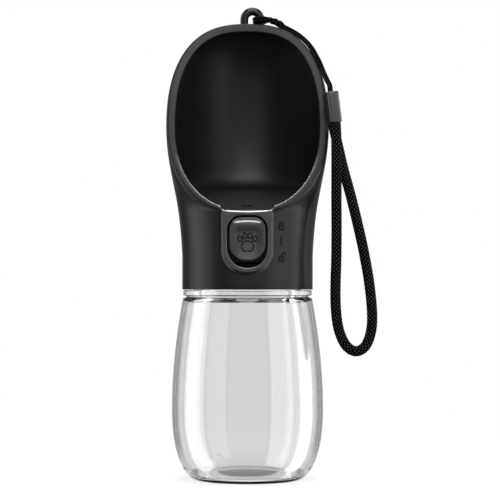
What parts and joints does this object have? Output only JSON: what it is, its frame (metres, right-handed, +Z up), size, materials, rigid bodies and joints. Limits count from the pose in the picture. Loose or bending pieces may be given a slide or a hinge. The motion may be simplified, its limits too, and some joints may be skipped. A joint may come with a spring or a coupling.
{
  "type": "dog travel water bottle",
  "caption": "Clear bottle with a screw-on scoop head: a sliding push button opens a valve that fills the bowl, with a wrist cord on a moulded eye.",
  "frame": {"origin": "centre of the bottle's foot ring, on the bottle's axis, where the part stands", "axes": "+Z up the bottle, -Y towards the bowl's opening and the button, +X to the side where the lanyard hangs"},
  "size_m": [0.1043, 0.0754, 0.2382],
  "materials": {
    "clear_plastic": "clear, polished",
    "shell_black": "satin charcoal black",
    "button_black": "satin charcoal black",
    "cap_black": "fine matte",
    "inner_white": "natural moulded",
    "silicone": "translucent silicone",
    "dark_rubber": "matte rubber",
    "steel": "bright stainless",
    "cord_black": "round braided polyester",
    "sleeve_black": "satin"
  },
  "bodies": {
    "bottle": {"bottle": "clear_plastic"},
    "gasket": {"cap_gasket": "silicone"},
    "head": {"bowl_shell": "shell_black", "inner_cap": "cap_black", "valve_seat": "silicone", "stem_o_ring": "dark_rubber", "valve_spring": "steel", "valve_housing": "cap_black", "housing_gasket": "dark_rubber", "water_tube": "silicone", "outlet_duct": "cap_black", "outlet_seal": "dark_rubber", "air_valve": "dark_rubber", "button_guide": "cap_black", "detent_spring": "steel", "cap_screws": "steel", "guide_screws": "steel", "housing_screws": "steel", "lanyard_thread": "cord_black", "cord_sleeve": "sleeve_black", "wrist_cord": "cord_black"},
    "slider": {"lock_slider": "cap_black", "button_spring": "steel"},
    "button": {"push_button": "button_black"},
    "valve": {"valve_stem": "inner_white", "valve_plug": "silicone", "stem_collar": "steel"}
  },
  "joints": [
    {"name": "cap_lift", "type": "slide", "parent": "bottle", "child": "gasket", "axis": [0, 0, 1], "range_m": [0, 0.008]},
    {"name": "cap_turn", "type": "hinge", "parent": "gasket", "child": "head", "pos_m": [0, 0, 0.098], "axis": [0, 0, 1], "range_deg": [0, 720]},
    {"name": "lock_slide", "type": "slide", "parent": "head", "child": "slider", "axis": [0, 0, -1], "range_m": [0, 0.003]},
    {"name": "button_press", "type": "slide", "parent": "slider", "child": "button", "axis": [0, 1, 0], "range_m": [0, 0.0028], "stiffness_N_per_m": 400, "springref_m": -0.003, "deforming": ["button_spring"]},
    {"name": "valve_open", "type": "slide", "parent": "head", "child": "valve", "axis": [0, 0, -1], "range_m": [0, 0.0028], "stiffness_N_per_m": 300, "springref_m": -0.003, "deforming": ["valve_spring"]}
  ],
  "couplings": [
    {"joint": "cap_lift", "follows": "cap_turn", "m_per_rad": 0.00063662},
    {"joint": "valve_open", "follows": "button_press", "ratio": 1}
  ]
}
